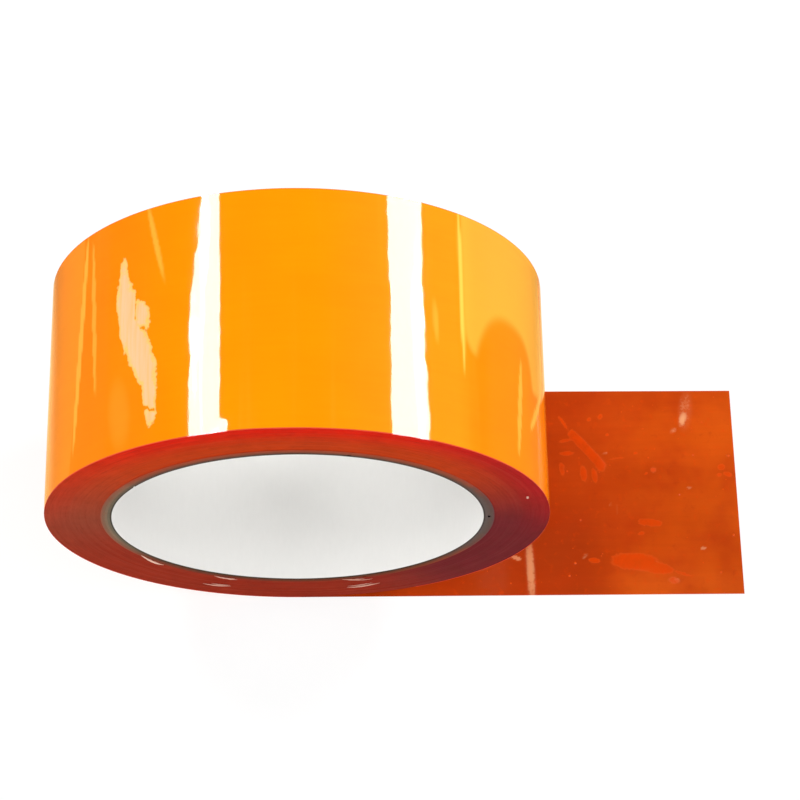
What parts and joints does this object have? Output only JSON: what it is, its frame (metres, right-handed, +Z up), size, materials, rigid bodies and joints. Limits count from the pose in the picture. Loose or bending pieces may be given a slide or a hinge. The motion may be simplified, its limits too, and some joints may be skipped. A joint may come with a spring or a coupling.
{
  "type": "adhesive tape roll",
  "caption": "Roll of clear orange film tape on a spirally wound paper core, lying on its side, with the free end of the strip out flat and able to lift.",
  "frame": {"origin": "centre of the core's bore, halfway across the width of the tape", "axes": "+Y along the roll's axis, +X the way the free end of the strip runs, +Z up from the surface that the roll lies on"},
  "size_m": [0.1528, 0.05, 0.1036],
  "materials": {
    "white_paper": "matt",
    "grey_board": "matt",
    "kraft_paper": "matt",
    "wound_film": "satin",
    "orange_film": "gloss",
    "free_film": "gloss"
  },
  "bodies": {
    "roll": {"core_liner": "white_paper", "core_board_1": "grey_board", "core_board_2": "grey_board", "core_board_3": "grey_board", "core_wrap": "kraft_paper", "wound_tape": "wound_film", "last_turn": "orange_film"},
    "tail": {"tail_end": "free_film"}
  },
  "joints": [
    {"name": "tail_lift", "type": "hinge", "parent": "roll", "child": "tail", "pos_m": [0.03, 0, -0.05176], "axis": [0, -1, 0], "range_deg": [0, 58]}
  ]
}
